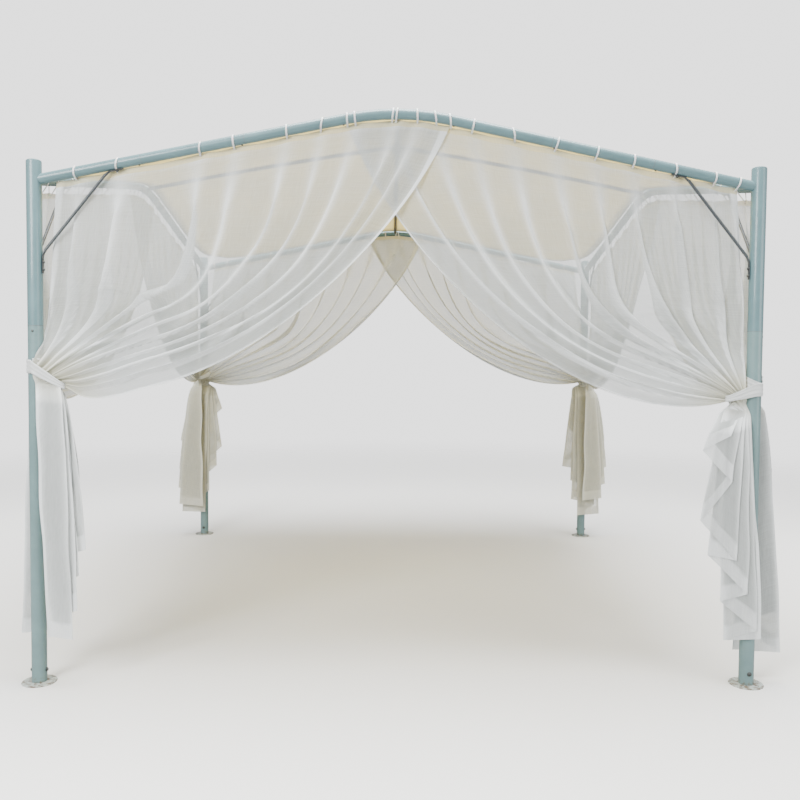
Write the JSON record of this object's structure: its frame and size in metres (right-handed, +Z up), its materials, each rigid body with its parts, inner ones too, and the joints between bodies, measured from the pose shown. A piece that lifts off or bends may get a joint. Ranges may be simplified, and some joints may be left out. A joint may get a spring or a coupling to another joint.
{
  "type": "garden gazebo",
  "caption": "Square steel-tube garden gazebo with arched rails, a cross-gabled fabric canopy and sheer curtains drawn back to the posts.",
  "frame": {"origin": "middle of the footprint, on the ground", "axes": "+Z up, -Y out of the front side, +X to the right seen from the front"},
  "size_m": [3.272, 3.078, 2.6096],
  "materials": {
    "frame_paint": "light blue-grey powder coat on steel tube",
    "brace_paint": "darker grey paint on steel rod",
    "ridge_paint": "grey-brown paint on slim steel tube",
    "canopy_cloth": "pale cream woven polyester",
    "curtain_voile": "sheer off-white voile",
    "strap_cloth": "white woven strap"
  },
  "bodies": {
    "root": {"base_flange_front_left": "frame_paint", "lower_post_front_left": "frame_paint", "upper_post_front_left": "frame_paint", "tieback_front_left": "strap_cloth", "base_flange_front_right": "frame_paint", "lower_post_front_right": "frame_paint", "upper_post_front_right": "frame_paint", "tieback_front_right": "strap_cloth", "base_flange_back_right": "frame_paint", "lower_post_back_right": "frame_paint", "upper_post_back_right": "frame_paint", "tieback_back_right": "strap_cloth", "base_flange_back_left": "frame_paint", "lower_post_back_left": "frame_paint", "upper_post_back_left": "frame_paint", "tieback_back_left": "strap_cloth", "rail_arm_left_front": "frame_paint", "rail_arm_right_front": "frame_paint", "rail_crown_front": "frame_paint", "ridge_tube_front": "ridge_paint", "brace_left_front": "brace_paint", "brace_right_front": "brace_paint", "curtain_left_front": "curtain_voile", "curtain_right_front": "curtain_voile", "rail_arm_left_right": "frame_paint", "rail_arm_right_right": "frame_paint", "rail_crown_right": "frame_paint", "ridge_tube_right": "ridge_paint", "brace_left_right": "brace_paint", "brace_right_right": "brace_paint", "curtain_left_right": "curtain_voile", "curtain_right_right": "curtain_voile", "rail_arm_left_back": "frame_paint", "rail_arm_right_back": "frame_paint", "rail_crown_back": "frame_paint", "ridge_tube_back": "ridge_paint", "brace_left_back": "brace_paint", "brace_right_back": "brace_paint", "curtain_left_back": "curtain_voile", "curtain_right_back": "curtain_voile", "rail_arm_left_left": "frame_paint", "rail_arm_right_left": "frame_paint", "rail_crown_left": "frame_paint", "ridge_tube_left": "ridge_paint", "brace_left_left": "brace_paint", "brace_right_left": "brace_paint", "curtain_left_left": "curtain_voile", "curtain_right_left": "curtain_voile", "ridge_hub": "ridge_paint", "roof_canopy": "canopy_cloth"}
  },
  "joints": []
}
